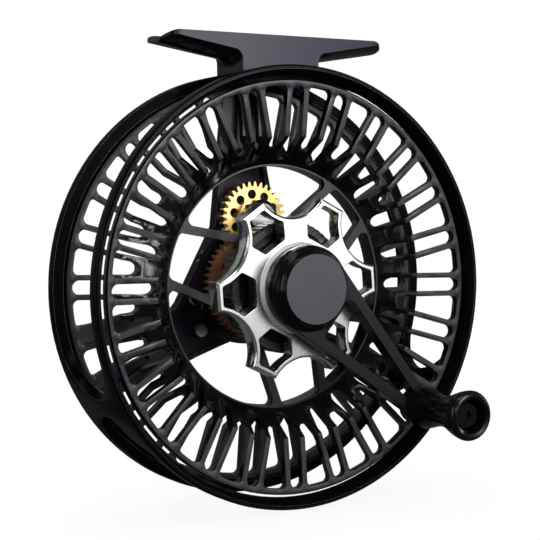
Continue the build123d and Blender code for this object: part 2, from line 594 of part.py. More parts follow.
def spool():
    """One-piece skeleton spool: two slotted flanges, throat band, bar web and bearing barrel."""
    front = [(SPOOL_RADIUS - FLANGE_EDGE, SPOOL_FRONT), (BEND_RADIUS, BEND_DEPTH),
             (THROAT_RADIUS, THROAT_DEPTH), (THROAT_BORE, THROAT_LEDGE)]
    inside = [(CHANNEL_RADIUS, CHANNEL_DEPTH), (BEND_INSIDE_RADIUS, BEND_INSIDE_DEPTH),
              (SPOOL_RADIUS, SPOOL_FRONT + FLANGE_THICKNESS), (SPOOL_RADIUS, SPOOL_FRONT + FLANGE_EDGE)]
    mirrored_front = [(radius, FRAME_WIDTH - depth) for radius, depth in reversed(front)]
    mirrored_inside = [(radius, FRAME_WIDTH - depth) for radius, depth in reversed(inside)]
    body = turned(front + mirrored_front + mirrored_inside + inside)
    slots = []
    step = 360 / SLOT_COUNT
    narrow, wide = narrow_slot(), wide_slot()
    for i in range(SLOT_COUNT):
        slots.append(Rot(0, 0, SLOT_PHASE + i * step) * narrow)
        slots.append(Rot(0, 0, SLOT_PHASE + (i + 0.5) * step) * wide)
    cutters = [slab(slot, 0, FRAME_WIDTH) for slot in slots]
    body = body.cut(*cutters)
    body += slab(web_outline(), WEB_FRONT, WEB_BACK)
    body += ring(BARREL_RADIUS, 0, WEB_FRONT, BARREL_BACK)
    body -= ring(BEARING_RADIUS, 0, BEARING_DEPTHS[0] - SEAT, FRAME_WIDTH)
    body -= ring(BEARING_RADIUS - BEARING_LIP, 0, 0, FRAME_WIDTH)
    for angle in GRUB_ANGLES:
        body -= spin(grub_bore(GRUB_HOLE_RADIUS, BARREL_RADIUS + 1), angle)
    return body


def grub_bore(radius, reach):
    """Radial bar along +X through the barrel wall, beside the pinion's spigot."""
    start = BEARING_RADIUS + 2 * SEAT
    bore = Cylinder(radius, reach - start, align=(Align.CENTER, Align.CENTER, Align.MIN))
    return Pos(start, y_at(GRUB_DEPTH), 0) * Rot(0, 90, 0) * bore


def pinion_grub_screws():
    """Three set screws that lock the pinion's spigot in the barrel."""
    screw = grub_bore(GRUB_RADIUS, BARREL_RADIUS - 10 * SEAT)
    return [spin(screw, angle) for angle in GRUB_ANGLES]


def bearing(near):
    """Ball bearing: outer ring, inner ring and balls, with grooves for the balls."""
    far = near + BEARING_WIDTH
    middle = (near + far) / 2
    pitch = (SLEEVE_RADIUS + BEARING_RADIUS) / 2
    groove = Pos(0, y_at(middle), 0) * Rot(90, 0, 0) * Torus(pitch, BALL_RADIUS + BALL_PLAY)
    outer = ring(BEARING_RADIUS - SEAT, pitch + RACE_GAP, near, far) - groove
    inner = ring(pitch - RACE_GAP, SLEEVE_RADIUS + SPACER_PLAY, near, far) - groove
    ball = Sphere(BALL_RADIUS)
    balls = []
    for i in range(BALL_COUNT):
        x, z = polar(pitch, 360 * i / BALL_COUNT)
        balls.append(Pos(x, y_at(middle), z) * ball)
    return [outer, inner] + balls


# ------------------------------------------------------------------ drive and drag

def drive_sleeve():
    """Tube that carries the spool's bearings and joins the drag housing to the drive gear."""
    sleeve = ring(SLEEVE_RADIUS, 0, HOUSING_BACK + SEAT, DRIVE_GEARS[0] - SEAT)
    sleeve += slab(flatted(SLEEVE_RADIUS, SLEEVE_FLAT), SLEEVE_FRONT, DRIVE_GEARS[1])
    return sleeve - ring(SLEEVE_BORE, 0, 0, FRAME_WIDTH)


def spindle_bush(near, bore):
    """Plain bush between the spindle and the bore it is pressed into."""
    return ring(bore - SEAT, SPINDLE_RADIUS + RUNNING, near, near + BUSH_LENGTH)


def sleeve_spacers():
    """Spacers in front of and behind the spool's bearings."""
    bore, bearings_end = SLEEVE_RADIUS + SPACER_PLAY, BEARING_DEPTHS[1] + BEARING_WIDTH
    front = ring(FRONT_SPACER_RADIUS, bore, HOUSING_BACK + SEAT, BEARING_DEPTHS[0] - SEAT)
    return [front, ring(REAR_SPACER_RADIUS, bore, bearings_end + SEAT, DRIVE_GEARS[0] - SEAT)]


def drag_housing():
    """Knurled cup that holds the drag discs, with keyways for the eared disc."""
    rim = HOUSING_RADIUS - HOUSING_EDGE
    cup = turned([
        (rim, HOUSING_FRONT), (HOUSING_RADIUS, HOUSING_FRONT + HOUSING_EDGE),
        (HOUSING_RADIUS, HOUSING_BACK - HOUSING_EDGE), (rim, HOUSING_BACK),
        (0, HOUSING_BACK), (0, HOUSING_FLOOR), (HOUSING_BORE, HOUSING_FLOOR), (HOUSING_BORE, HOUSING_FRONT)])
    cup -= slab(flatted(SLEEVE_RADIUS + SEAT, SLEEVE_FLAT + SEAT), 0, FRAME_WIDTH)
    keyways = eared_outline(HOUSING_BORE, EAR_REACH + EAR_PLAY, EAR_WIDTH + EAR_PLAY)
    cup -= slab(keyways, HOUSING_FRONT - 1, HOUSING_FLOOR)
    grooves = []
    for i in range(KNURL_COUNT):
        place = polar(HOUSING_RADIUS + KNURL_RISE, 360 * i / KNURL_COUNT)
        grooves.append(ring(KNURL_RADIUS, 0, 0, FRAME_WIDTH, place))
    return cup.cut(*grooves)


def eared_outline(radius, reach, width):
    """Disc with ears out to a reach. The first ear is at the top."""
    outline = Circle(radius)
    ear = Rectangle(reach, width, align=(Align.MIN, Align.CENTER))
    for i in range(EAR_COUNT):
        outline += Rot(0, 0, 90 + 360 * i / EAR_COUNT) * ear
    return outline


def carbon_disc(near):
    return ring(DISC_RADIUS, DISC_BORE, near, near + CARBON_THICKNESS)


def eared_disc():
    """Steel drag disc with ears that run in the housing's keyways."""
    outline = eared_outline(DISC_RADIUS, EAR_REACH, EAR_WIDTH) - Circle(DISC_BORE)
    return slab(outline, EARED_DISC_DEPTH, EARED_DISC_DEPTH + STEEL_THICKNESS)


def keyed_plate(radius, near, far):
    """Round plate with a flatted bore that turns with the crank shaft."""
    return slab(Circle(radius) - flatted(SHAFT_RADIUS + RUNNING, SHAFT_FLAT + RUNNING), near, far)


def cupped_washer(near):
    """Cone-shaped spring washer, higher at its bore."""
    rim = near + WASHER_RISE
    return turned([(WASHER_BORE, near), (WASHER_RADIUS, rim), (WASHER_RADIUS, rim + WASHER_THICKNESS),
                   (WASHER_BORE, near + WASHER_THICKNESS)])


def crank_shaft():
    """Hollow shaft: front thread, flats for the crank, star thread, flats for the drag plates."""
    shaft = ring(SHAFT_RADIUS, 0, SHAFT_FRONT, CRANK_FRONT)
    shaft += slab(flatted(SHAFT_RADIUS, SHAFT_FLAT), CRANK_FRONT - SEAT, SHAFT_BACK)
    shaft += ring(SHAFT_RADIUS, 0, CRANK_BACK + SEAT, STAR_THREAD_END)
    return shaft - ring(SHAFT_BORE, 0, SHAFT_FRONT - 1, SHAFT_BACK + 1)


def crank_arm():
    """Hub with two converging straight arms and a boss for the handle."""
    boss = (CRANK_LENGTH, 0)
    outline = Circle(CRANK_HUB_RADIUS) + Pos(*boss) * Circle(CRANK_BOSS_RADIUS)
    line = CRANK_HUB_RADIUS - CRANK_ARM_WIDTH / 2
    reach = CRANK_LENGTH - CRANK_TOE
    for side in (-1, 1):
        foot = polar(line, 90 - CRANK_TAPER)
        run = (reach - foot[0]) / math.cos(math.radians(CRANK_TAPER))
        end = (reach, foot[1] - run * math.sin(math.radians(CRANK_TAPER)))
        outline += strut((foot[0], side * foot[1]), (end[0], side * end[1]), CRANK_ARM_WIDTH)
    first, last = CRANK_CORNERS
    limit = line - CRANK_CORNER_INSET
    inner_corners = [v for v in outline.vertices() if first < v.X < last and abs(v.Y) < limit]
    outline = fillet(inner_corners, CRANK_FILLET)
    arm = slab(Rot(0, 0, CRANK_ANGLE) * outline, CRANK_FRONT, CRANK_BACK)
    arm -= slab(flatted(SHAFT_RADIUS + SEAT, SHAFT_FLAT + SEAT), CRANK_FRONT - 1, CRANK_BACK + 1)
    return arm - ring(RIVET_RADIUS + SEAT, 0, CRANK_FRONT - 1, CRANK_BACK + 1, handle_axis())


def handle_axis():
    return polar(CRANK_LENGTH, CRANK_ANGLE)


def hub_cap():
    """Turned cap over the crank nut."""
    base_radius = CAP_SIDE[-1][0]
    return turned([*CAP_SIDE, (base_radius, CRANK_FRONT - SEAT), *CAP_CAVITY])


def crank_nut():
    nut = slab(RegularPolygon(NUT_HEX_ACROSS / 2, 6, major_radius=False), NUT_FRONT, CRANK_FRONT - SEAT)
    return nut - ring(SHAFT_RADIUS + SEAT, 0, NUT_FRONT - 1, CRANK_FRONT)


# ------------------------------------------------------------------ star wheel

def star_outline():
    """Six flat-tipped lobes joined by round scallops."""
    edges = []
    for i in range(STAR_LOBES):
        lobe = STAR_PHASE + 360 / STAR_LOBES * i
        start = polar(STAR_CORNER_RADIUS, lobe - STAR_CORNER_ANGLE)
        end = polar(STAR_CORNER_RADIUS, lobe + STAR_CORNER_ANGLE)
        waist = polar(STAR_WAIST_RADIUS, lobe + 180 / STAR_LOBES)
        following = polar(STAR_CORNER_RADIUS, lobe + 360 / STAR_LOBES - STAR_CORNER_ANGLE)
        edges.append(Line(start, end))
        edges.append(ThreePointArc(end, waist, following))
    return make_face(Wire(edges))


def star_window():
    """Window in one lobe, along +X, whose sides follow the scallops."""
    face = Polygon((WINDOW_INNER, -WINDOW_INNER_HALF), (WINDOW_OUTER, -WINDOW_OUTER_HALF),
                   (WINDOW_OUTER, WINDOW_OUTER_HALF), (WINDOW_INNER, WINDOW_INNER_HALF), align=None)
    for side in (-1, 1):
        face -= Pos(*polar(SCALLOP_CENTRE, side * 180 / STAR_LOBES)) * Circle(SCALLOP_RADIUS + STAR_RIM)
    return fillet(face.vertices(), STAR_WINDOW_ROUND)


def star_wheel():
    """Drag star with a raised collar round its threaded bore."""
    body = slab(star_outline(), STAR_FRONT, STAR_BACK)
    front_edges = [e for e in body.edges() if abs(e.bounding_box().max.Y - y_at(STAR_FRONT)) < TOUCH]
    body = chamfer(front_edges, STAR_CHAMFER)
    window = star_window()
    windows = [Rot(0, 0, STAR_PHASE + 360 / STAR_LOBES * i) * window for i in range(STAR_LOBES)]
    body = body.cut(*[slab(window, COLLAR_FRONT, STAR_BACK + 1) for window in windows])
    body += turned([(0, COLLAR_ROOT), (0, COLLAR_FRONT), (COLLAR_TOP_RADIUS, COLLAR_FRONT),
                    (COLLAR_BASE_RADIUS, STAR_FRONT + SEAT), (COLLAR_BASE_RADIUS, COLLAR_ROOT)])
    return body - ring(SHAFT_RADIUS + RUNNING, 0, COLLAR_FRONT - 1, STAR_BACK + 1)


# ------------------------------------------------------------------ handle

def handle_knob():
    """Waisted knob with a flared end and a deep recess for its screw."""
    base, waist_front, waist, flare, lip_middle, lip_end = [
        (radius, y_at(depth)) for radius, depth in (KNOB_BASE, *KNOB_WAIST, KNOB_FLARE, *KNOB_LIP)]
    neck = Spline(base, waist_front, waist, flare, tangents=((-0.1, -1, 0), (0.15, -1, 0)))
    lip = ThreePointArc(flare, lip_middle, lip_end)
    base_radius, bush_radius = KNOB_BASE[0], HANDLE_BUSH_RADIUS + SEAT
    corners = [KNOB_LIP[-1], KNOB_MOUTH, (RECESS_RADIUS, RECESS_FLOOR), (bush_radius, RECESS_FLOOR),
               (bush_radius, KNOB_BACK), (base_radius - KNOB_EDGE, KNOB_BACK),
               (base_radius, KNOB_BACK - KNOB_EDGE), KNOB_BASE]
    rest = Polyline(*[(radius, y_at(depth)) for radius, depth in corners])
    knob = revolve(make_face(Wire([neck, lip] + list(rest.edges()))), Axis.Y)
    x, z = handle_axis()
    return Pos(x, 0, z) * knob


def handle_post():
    """Shouldered post riveted into the crank's boss and tapped for the knob's screw."""
    axis = handle_axis()
    post = ring(POST_RADIUS, 0, POST_FRONT, CRANK_FRONT - SEAT, axis)
    post += ring(RIVET_RADIUS, 0, CRANK_FRONT - 1, CRANK_BACK - RUNNING, axis)
    return post - ring(HANDLE_SCREW_SHANK + SEAT, 0, POST_FRONT - 1, POST_BORE_END, axis)


def handle_screw():
    axis = handle_axis()
    screw = ring(HANDLE_SCREW_HEAD, 0, HANDLE_SCREW_FRONT, POST_FRONT - SEAT, axis)
    screw += ring(HANDLE_SCREW_SHANK, 0, HANDLE_SCREW_FLOOR, HANDLE_SCREW_TIP, axis)
    socket = Pos(*axis) * RegularPolygon(HANDLE_SCREW_SOCKET, 6)
    return screw - slab(socket, HANDLE_SCREW_FRONT - 1, HANDLE_SCREW_FLOOR)


def handle_bush():
    return ring(HANDLE_BUSH_RADIUS, POST_RADIUS + RUNNING, RECESS_FLOOR, KNOB_BACK, handle_axis())


# ------------------------------------------------------------------ click

def pawl_pivot():
    return polar(PAWL_PIVOT_RADIUS, PAWL_ANGLE)


def spring_anchor():
    return polar(SPRING_ANCHOR_RADIUS, SPRING_ANCHOR_ANGLE)


def click_pawl():
    """Three-cornered pawl whose tip points at the drive gear's teeth."""
    tip_radius = MODULE * (DRIVE_TEETH / 2 + 1) + PAWL_TIP_GAP
    pivot = PAWL_PIVOT_RADIUS
    nose = Polygon((tip_radius, -PAWL_TIP_HALF), (pivot, -PAWL_HEAD_HALF), (pivot, PAWL_HEAD_HALF),
                   (tip_radius, PAWL_TIP_HALF), align=None)
    outline = nose + Pos(pivot, 0) * (Circle(PAWL_HEAD_RADIUS) - Circle(PIN_RADIUS))
    outline -= Pos(pivot, 0) * Circle(PIN_RADIUS + RUNNING)
    return slab(Rot(0, 0, PAWL_ANGLE) * outline, PAWL_FRONT, PAWL_BACK)


def headed_pin(point, shoulder):
    """Pin with a round head, pressed into the back plate."""
    pin = ring(PIN_RADIUS, 0, shoulder, PIN_END, point)
    return pin + ring(PIN_HEAD_RADIUS, 0, shoulder - PIN_HEAD, shoulder, point)


def click_spring():
    """Hairpin spring: one turn round its anchor and an arm that lies beside the pawl."""
    x, z = spring_anchor()
    pivot_x, pivot_z = pawl_pivot()
    dx, dz = pivot_x - x, pivot_z - z
    aim = math.degrees(math.atan2(dz, dx))
    turn = Circle(SPRING_TURN_RADIUS + 2 * WIRE_RADIUS) - Circle(SPRING_TURN_RADIUS)
    start = polar(SPRING_TURN_RADIUS + WIRE_RADIUS, aim + 90)
    along = polar(math.hypot(dx, dz) + SPRING_OVERRUN, aim)
    end = (start[0] + along[0], start[1] + along[1] - SPRING_LEAN)
    outline = Pos(x, z) * (turn + strut(start, end, 2 * WIRE_RADIUS))
    return slab(outline, SPRING_FRONT, SPRING_FRONT + 2 * WIRE_RADIUS)


# ------------------------------------------------------------------ nodes

def build():
    save("frame_cage", [frame_cage()])
    save("reel_foot", [reel_foot()])
    save("foot_screws", foot_screws())
    save("main_spindle", [main_spindle()])
    save("spindle_flange_screws", spindle_screws())
    save("spindle_end_washer", [end_washer()])
    save("spindle_end_screw", [end_screw()])
    save("thrust_washer", [thrust_washer()])
    save("lay_shaft", [lay_shaft()])
    save("click_pivot_pin", [headed_pin(pawl_pivot(), PIVOT_SHOULDER)])
    save("click_spring_pin", [headed_pin(spring_anchor(), ANCHOR_SHOULDER)])
    save("click_spring", [click_spring()])
    save("click_pawl", [click_pawl()])

    save("spool", [spool()])
    save("spool_bearings", bearing(BEARING_DEPTHS[0]) + bearing(BEARING_DEPTHS[1]))
    save("spool_pinion", [spool_pinion()])
    save("pinion_grub_screws", pinion_grub_screws())

    save("lay_gear", [lay_gear()])
    save("lay_pinion", [lay_pinion()])
    save("lay_bush", [lay_bush()])

    save("drive_gear", [drive_gear()])
    save("drive_sleeve", [drive_sleeve()])
    bush_places = (SLEEVE_FRONT, DRIVE_GEARS[1] - BUSH_LENGTH)
    save("sleeve_bushes", [spindle_bush(near, SLEEVE_BORE) for near in bush_places])
    save("sleeve_spacers", sleeve_spacers())
    save("drag_housing", [drag_housing()])
    save("carbon_discs", [carbon_disc(near) for near in CARBON_DEPTHS])
    save("eared_drag_disc", [eared_disc()])

    save("crank_shaft", [crank_shaft()])
    bush_places = (SPINDLE_FRONT + RUNNING, SHAFT_BACK - BUSH_LENGTH)
    save("shaft_bushes", [spindle_bush(near, SHAFT_BORE) for near in bush_places])
    save("keyed_drag_disc", [keyed_plate(DISC_RADIUS, KEYED_DISC_DEPTH, KEYED_DISC_DEPTH + STEEL_THICKNESS)])
    save("crank_arm", [crank_arm()])
    save("crank_nut", [crank_nut()])
    save("hub_cap", [hub_cap()])
    save("handle_post", [handle_post()])
    save("handle_screw", [handle_screw()])

    save("pressure_plate", [keyed_plate(PRESSURE_RADIUS, PRESSURE_FRONT, PRESSURE_BACK)])
    save("spring_washers", [cupped_washer(near) for near in WASHER_DEPTHS])
    save("star_wheel", [star_wheel()])

    save("handle_knob", [handle_knob()])
    save("handle_bush", [handle_bush()])


build()
os.makedirs("parts", exist_ok=True)
for name, part in parts.items():
    export_step(part, os.path.join("parts", name + ".step"))
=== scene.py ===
import math
import bpy
from mathutils import Matrix, Vector


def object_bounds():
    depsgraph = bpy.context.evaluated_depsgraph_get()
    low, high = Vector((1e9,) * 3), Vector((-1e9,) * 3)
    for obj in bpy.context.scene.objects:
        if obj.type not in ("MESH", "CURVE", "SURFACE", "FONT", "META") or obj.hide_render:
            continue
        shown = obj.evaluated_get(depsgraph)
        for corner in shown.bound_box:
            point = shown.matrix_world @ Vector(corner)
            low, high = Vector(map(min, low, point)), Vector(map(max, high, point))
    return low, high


# Looks for the fly reel. Lengths are in metres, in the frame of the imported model:
# the reel's axis is along Y at X = Z = 0, -Y is the crank side and +Z points to the foot.

MM = 0.001
WHITE = (1.0, 1.0, 1.0)
LAY_AXIS = (-0.75 * MM, 15.98 * MM)     # X and Z of the gold gear's axis
STAR_COLLAR = 11.0 * MM                 # radius that holds the star's raised collar

# ---- camera ----
CAMERA_PLACE = (-155.9 * MM, -279.4 * MM, 17.2 * MM)
CAMERA_AIM = (-6.3 * MM, -24.1 * MM, 4.2 * MM)
CAMERA_UP = (0.036, 0.030, 0.999)
CAMERA_LENS, CAMERA_SENSOR = 88.0, 36.0
CAMERA_NEAR, CAMERA_FAR = 0.01, 20.0

# ---- edges broken by tumbling: widths of the flats in millimetres ----
EDGE_BREAKS = {"frame_cage": 0.16, "spool": 0.12, "reel_foot": 0.18, "crank_arm": 0.16, "star_wheel": 0.08,
               "hub_cap": 0.08, "lay_gear": 0.05, "spool_pinion": 0.05, "drive_gear": 0.05, "lay_shaft": 0.10}
BREAK_SEGMENTS = 2
BREAK_ANGLE = math.radians(28.0)        # gentler corners are facets of a curve, not edges
WELD_DISTANCE = 1e-6

# ---- studio ----
CENTRE = (0.0, -0.014, 0.0)             # middle of the reel, where the boxes aim
FLOOR_DROP = 0.3 * MM
FLOOR_SIZE = 6.0
FLOOR_SHADE_REACH = 0.06

bpy.ops.wm.read_factory_settings(use_empty=True)
scene = bpy.context.scene
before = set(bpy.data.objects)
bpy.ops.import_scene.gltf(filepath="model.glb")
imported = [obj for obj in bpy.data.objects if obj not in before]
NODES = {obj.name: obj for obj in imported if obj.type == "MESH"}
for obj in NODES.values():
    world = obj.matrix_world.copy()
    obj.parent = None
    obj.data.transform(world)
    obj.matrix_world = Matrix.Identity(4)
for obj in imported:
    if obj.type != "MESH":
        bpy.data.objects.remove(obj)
CAD_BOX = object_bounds()


# ------------------------------------------------------------------ node helpers

class Graph:
    """Short calls for building one node tree."""

    def __init__(self, tree):
        self.tree = tree
        tree.nodes.clear()

    def add(self, kind, inputs=None, **settings):
        node = self.tree.nodes.new(kind)
        for key, value in settings.items():
            setattr(node, key, value)
        for key, value in (inputs or {}).items():
            self.put(node, key, value)
        return node

    def put(self, node, key, value):
        if isinstance(value, bpy.types.NodeSocket):
            self.tree.links.new(value, node.inputs[key])
        else:
            node.inputs[key].default_value = value

    def math(self, operation, a, b=0.0):
        return self.add("ShaderNodeMath", {0: a, 1: b}, operation=operation).outputs[0]

    def product(self, first, *others):
        for other in others:
            first = self.math("MULTIPLY", first, other)
        return first

    def ramp(self, value, low, high, start=0.0, end=1.0, smooth=False):
        """low where the value is at start, high where it is at end, and clamped outside them."""
        kind = "SMOOTHSTEP" if smooth else "LINEAR"
        inputs = {"Value": value, "From Min": start, "From Max": end, "To Min": low, "To Max": high}
        return self.add("ShaderNodeMapRange", inputs, interpolation_type=kind).outputs["Result"]

    def share(self, value, start, end):
        """0 where the value is at start, 1 where it is at end."""
        return self.ramp(value, 0.0, 1.0, start, end)

    def blend(self, share, a, b):
        """Colour a where share is 0, colour b where it is 1."""
        node = self.add("ShaderNodeMix", data_type="RGBA")
        self.put(node, "Factor", share)
        for key, value in ((6, a), (7, b)):
            self.put(node, key, value if isinstance(value, bpy.types.NodeSocket) else (*value, 1.0))
        return node.outputs[2]

    def place(self):
        """Position in the object's own space, so that a pattern rides with its piece."""
        return self.add("ShaderNodeTexCoord").outputs["Object"]

    def noise(self, scale, detail, roughness=0.5):
        inputs = {"Scale": scale, "Detail": detail, "Roughness": roughness, "Vector": self.place()}
        return self.add("ShaderNodeTexNoise", inputs).outputs["Fac"]

    def radius(self, x=0.0, z=0.0):
        """Distance from an axis along Y."""
        shifted = self.add("ShaderNodeVectorMath", {0: self.place(), 1: (x, 0.0, z)}, operation="SUBTRACT")
        flat = self.add("ShaderNodeVectorMath", {0: shifted.outputs[0], 1: (1.0, 0.0, 1.0)}, operation="MULTIPLY")
        return self.add("ShaderNodeVectorMath", {0: flat.outputs[0]}, operation="LENGTH").outputs["Value"]

    def turning_rings(self, pitch, centre=(0.0, 0.0)):
        """Height of fine concentric tool marks."""
        return self.math("SINE", self.math("MULTIPLY", self.radius(*centre), 2 * math.pi / pitch))

    def facing(self, start=0.90, end=0.97):
        """1 on faces square to the reel's axis, 0 on walls and cones."""
        normal = self.add("ShaderNodeNewGeometry").outputs["Normal"]
        along = self.add("ShaderNodeSeparateXYZ", {0: normal}).outputs["Y"]
        return self.share(self.math("ABSOLUTE", along), start, end)

    def edge(self, radius):
        """1 on a sharp edge, fading to 0 on open faces. It compares the true normal with a rounded one."""
        rounded = self.add("ShaderNodeBevel", {"Radius": radius}, samples=4).outputs["Normal"]
        plain = self.add("ShaderNodeNewGeometry").outputs["Normal"]
        agree = self.add("ShaderNodeVectorMath", {0: rounded, 1: plain}, operation="DOT_PRODUCT").outputs["Value"]
        return self.ramp(agree, 1.0, 0.0, 0.75, 0.999)

    def bump(self, height, depth, strength=1.0, normal=None):
        inputs = {"Height": height, "Distance": depth, "Strength": strength}
        if normal is not None:
            inputs["Normal"] = normal
        return self.add("ShaderNodeBump", inputs).outputs["Normal"]

    def glow(self, strength, colour=WHITE):
        return self.add("ShaderNodeEmission", {"Color": (*colour, 1.0), "Strength": strength}).outputs[0]

    def by_ray(self, other, seen):
        """One shader for the camera's own rays and another for every other ray."""
        camera_ray = self.add("ShaderNodeLightPath").outputs["Is Camera Ray"]
        return self.add("ShaderNodeMixShader", {0: camera_ray, 1: other, 2: seen}).outputs[0]

    def finish(self, shader, kind="ShaderNodeOutputMaterial"):
        self.add(kind, {0: shader})

    def surface(self, **inputs):
        named = {key.replace("_", " "): value for key, value in inputs.items()}
        self.finish(self.add("ShaderNodeBsdfPrincipled", named).outputs[0])


def new_material(name):
    material = bpy.data.materials.new(name)
    material.use_nodes = True
    return material, Graph(material.node_tree)


# ------------------------------------------------------------------ materials

def anodised(name, face, side, rough, grain=0.006, edge_light=0.25, edge_radius=0.15, specular=0.5,
             satin_radius=None):
    """Anodised aluminium, satin on the faces square to the axis and glossy on walls.

    rough is (face, side). grain and edge_radius are in millimetres. edge_light is how strongly a painted highlight
    lightens the edges.
    Outside satin_radius, if there is one, the faces are like the walls and mirror little but at their edges.
    """
    material, g = new_material(name)
    cloud = g.noise(scale=90.0, detail=4.0)
    fine = g.noise(scale=5200.0, detail=2.0)
    near_edge = g.edge(edge_radius * MM)
    square = g.facing()
    if satin_radius:
        radius = g.radius()
        inside = g.math("LESS_THAN", radius, satin_radius)
        square = g.product(square, inside)
        outwards = g.ramp(radius, 0.4, 1.0, 0.6 * satin_radius, 0.85 * satin_radius)
        mirror = g.product(g.ramp(square, 0.3, 1.0), g.ramp(inside, 0.15, 1.0), outwards)
        mirror = g.math("MAXIMUM", mirror, g.share(near_edge, 0.5, 0.9))
        specular = g.product(mirror, specular)
    lighter = tuple(1.25 * c for c in face)
    # painted highlight: the colour is lightened along sharp edges to stand in for glints on them, not wear
    edge_highlight = tuple(min(1.0, 6.0 * c + 0.03) for c in face)
    colour = g.blend(square, side, g.blend(g.share(cloud, 0.35, 0.65), face, lighter))
    colour = g.blend(g.product(near_edge, edge_light), colour, edge_highlight)
    mottle = g.math("ADD", g.product(cloud, 0.6), g.product(fine, 0.4))
    roughness = g.product(g.ramp(square, rough[1], rough[0]), g.ramp(mottle, 0.85, 1.2, 0.3, 0.7))
    g.surface(Base_Color=colour, Roughness=roughness, Specular_IOR_Level=specular, Normal=g.bump(fine, grain * MM))
    return material


def turned_metal(name, colour, tint, rough, centre=(0.0, 0.0), grain=0.002):
    """Bare machined metal with fine concentric tool marks and slight staining. grain is in millimetres."""
    material, g = new_material(name)
    cloud = g.noise(scale=140.0, detail=4.0)
    uneven = g.noise(scale=700.0, detail=2.0)
    shade = g.blend(g.share(cloud, 0.35, 0.7), colour, tint)
    mottle = g.math("ADD", cloud, g.product(uneven, 0.5))
    pitted = g.bump(g.noise(scale=6000.0, detail=2.0), grain * MM)
    marks = g.bump(g.turning_rings(0.18 * MM, centre), 0.0006 * MM, 1.0, pitted)
    g.surface(Base_Color=shade, Metallic=1.0, Roughness=g.ramp(mottle, 0.8 * rough, 1.3 * rough, 0.4, 1.1),
              Normal=marks)
    return material


def polished_star():
    """Polished aluminium: mirror-like walls, a fine lapped face and a satin collar."""
    material, g = new_material("polished_aluminium")
    wall_rough, collar_rough, face_rough = 0.15, 0.55, 0.26
    cloud = g.noise(scale=120.0, detail=4.0)
    collar = g.math("LESS_THAN", g.radius(), STAR_COLLAR)
    rough = g.ramp(g.facing(0.75, 0.95), g.ramp(collar, wall_rough, collar_rough), face_rough)
    rough = g.math("ADD", rough, g.ramp(cloud, -0.03, 0.04, 0.3, 0.7))
    pitted = g.bump(g.noise(scale=5000.0, detail=2.0), 0.0015 * MM)
    marks = g.bump(g.turning_rings(0.11 * MM), 0.0004 * MM, 0.6, pitted)
    colour = g.blend(g.share(cloud, 0.3, 0.7), (0.86, 0.87, 0.86), (0.80, 0.82, 0.80))
    g.surface(Base_Color=colour, Metallic=1.0, Roughness=rough, Normal=marks)
    return material


def cap_finish():
    """Hub cap: matt face with faint turning rings, glossy side."""
    material, g = new_material("cap_black")
    facing = g.facing()
    cloud = g.noise(scale=160.0, detail=3.0)
    face = g.blend(g.share(cloud, 0.35, 0.65), (0.062, 0.055, 0.072), (0.071, 0.064, 0.081))
    colour = g.blend(facing, (0.004, 0.004, 0.0045), face)
    pitted = g.bump(g.noise(scale=4600.0, detail=2.0), 0.008 * MM)
    marks = g.bump(g.turning_rings(0.16 * MM), 0.0010 * MM, 0.5, pitted)
    g.surface(Base_Color=colour, Roughness=g.ramp(facing, 0.10, 0.48),
              Specular_IOR_Level=g.ramp(facing, 0.14, 0.55), Normal=marks)
    return material


def knurled_housing():
    """Black drag housing, bead-blasted so that its knurls glint."""
    material, g = new_material("housing_black")
    grain = g.noise(scale=1500.0, detail=4.0, roughness=0.65)
    fine = g.noise(scale=5200.0, detail=2.0)
    colour = g.blend(g.share(grain, 0.5, 0.75), (0.006, 0.006, 0.007), (0.03, 0.03, 0.034))
    g.surface(Base_Color=colour, Roughness=g.ramp(fine, 0.14, 0.32, 0.3, 0.7), Normal=g.bump(grain, 0.10 * MM))
    return material


def carbon_weave():
    """Carbon friction disc: plain weave under a matt resin."""
    material, g = new_material("carbon_weave")
    checks = g.add("ShaderNodeTexChecker", {"Vector": g.place(), "Scale": 900.0}).outputs["Fac"]
    fine = g.noise(scale=4000.0, detail=2.0)
    colour = g.blend(g.product(checks, 0.8), (0.012, 0.012, 0.013), (0.035, 0.035, 0.037))
    g.surface(Base_Color=colour, Roughness=g.ramp(fine, 0.45, 0.65), Normal=g.bump(checks, 0.01 * MM))
    return material


def paint(node, material):
    mesh = NODES[node].data
    mesh.materials.clear()
    mesh.materials.append(material)


def soften(node, width):
    """Breaks a CAD node's sharp edges, as tumbling and anodising do."""
    thing = NODES[node]
    weld = thing.modifiers.new("weld", "WELD")
    weld.merge_threshold = WELD_DISTANCE
    bevel = thing.modifiers.new("edge_break", "BEVEL")
    bevel.width = width
    bevel.segments = BREAK_SEGMENTS
    bevel.limit_method = "ANGLE"
    bevel.angle_limit = BREAK_ANGLE
    bevel.harden_normals = True
    bevel.use_clamp_overlap = True


gloss_black = anodised("frame_gloss_black", face=(0.014, 0.013, 0.024), side=(0.0025, 0.0025, 0.003),
                       rough=(0.34, 0.26), grain=0.003, edge_light=1.0, edge_radius=0.30, specular=0.60,
                       satin_radius=45.9 * MM)
spool_grey = anodised("spool_satin_grey", face=(0.022, 0.020, 0.030), side=(0.004, 0.004, 0.005),
                      rough=(0.32, 0.12), specular=0.45)
foot_grey = anodised("foot_blue_grey", face=(0.026, 0.026, 0.046), side=(0.005, 0.005, 0.006),
                     rough=(0.32, 0.14), specular=0.20)
crank_grey = anodised("crank_satin_grey", face=(0.012, 0.011, 0.015), side=(0.004, 0.004, 0.005),
                      rough=(0.34, 0.14), specular=0.25)
knob_black = anodised("knob_gloss_black", face=(0.003, 0.003, 0.0035), side=(0.0025, 0.0025, 0.003),
                      rough=(0.20, 0.16), grain=0.002, specular=0.35)
black_oxide = anodised("black_oxide", face=(0.004, 0.004, 0.005), side=(0.004, 0.004, 0.005),
                       rough=(0.30, 0.22), specular=0.12)
